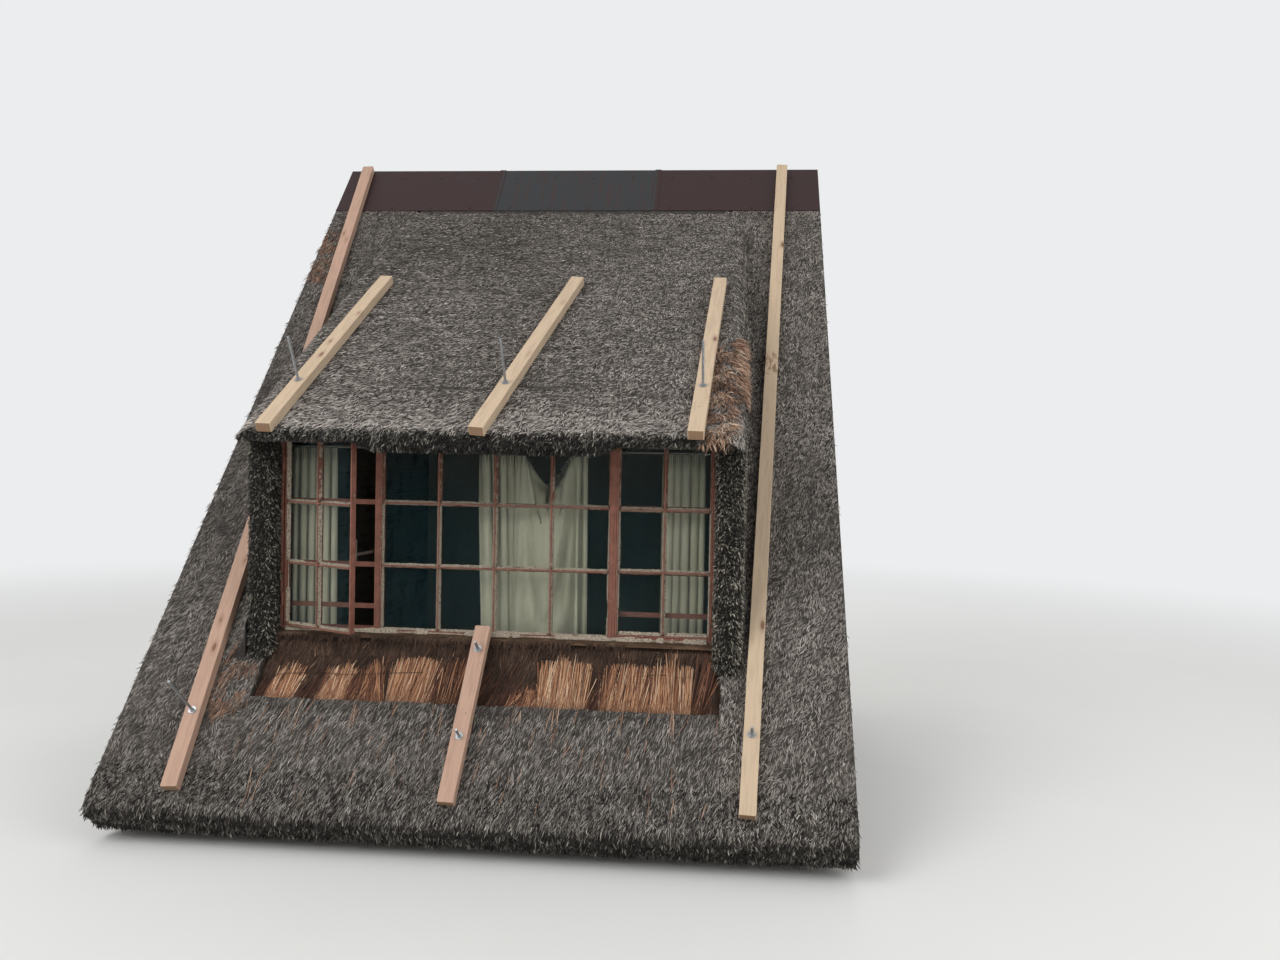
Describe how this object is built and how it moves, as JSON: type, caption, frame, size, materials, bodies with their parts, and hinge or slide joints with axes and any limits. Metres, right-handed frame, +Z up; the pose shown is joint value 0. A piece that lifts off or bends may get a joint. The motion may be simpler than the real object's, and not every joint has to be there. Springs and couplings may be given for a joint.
{
  "type": "thatched dormer window",
  "caption": "Thatched shed dormer with a long steel window of small panes, one casement open, set in a steep thatched roof from eave to ridge capping",
  "frame": {"origin": "middle of the base rectangle, on the level floor that the slice of roof stands on", "axes": "+Z up, +Y from the window back to the ridge, +X to the right as seen from in front of the window, which faces -Y"},
  "size_m": [3.5, 3.2458, 3.9781],
  "materials": {
    "old_timber": "rough old timber, weathered",
    "wall_boards": "plain weathered boards",
    "old_thatch": "old grey reed thatch",
    "bare_reed": "bare orange reed and rotten brown straw",
    "capping": "dull dark maroon and grey paint, worn",
    "frame_paint": "old red brown paint, peeling and rusty",
    "glass": "old window glass, dusty",
    "fittings": "dull rusty steel",
    "curtain": "thin cream cotton",
    "new_pine": "new planed pine",
    "zinc_rod": "zinc plated threaded rod"
  },
  "bodies": {
    "root": {"floor_joists": "old_timber", "floor_boards": "old_timber", "wall_plate": "old_timber", "front_wall": "wall_boards", "cheek_wall_left": "wall_boards", "cheek_wall_right": "wall_boards", "corner_posts": "old_timber", "back_wall": "wall_boards", "ridge_pole": "old_timber", "rafters_slope": "old_timber", "rafters_apron": "old_timber", "rafters_dormer": "old_timber", "head_beam": "old_timber", "sill_beam": "old_timber", "laths_slope": "old_timber", "laths_apron": "old_timber", "laths_dormer": "old_timber", "thatch_slope_left": "old_thatch", "thatch_slope_right": "old_thatch", "thatch_cheek_left": "old_thatch", "thatch_cheek_right": "old_thatch", "thatch_dormer_roof": "old_thatch", "thatch_apron_coat": "old_thatch", "thatch_apron_base": "bare_reed", "ridge_cap": "capping", "sill_ledge": "old_timber", "frame_left": "frame_paint", "frame_centre": "frame_paint", "frame_right": "frame_paint", "mullions": "frame_paint", "casement_left": "frame_paint", "casement_right": "frame_paint", "glass_left": "glass", "glass_centre": "glass", "glass_right": "glass", "guard_bars": "frame_paint", "casement_hinges": "frame_paint", "casement_fittings": "fittings", "curtain_rail": "fittings", "curtain_left": "curtain", "curtain_centre": "curtain", "curtain_right": "curtain", "dormer_battens": "new_pine", "slope_battens": "new_pine", "batten_rods": "zinc_rod"}
  },
  "joints": []
}
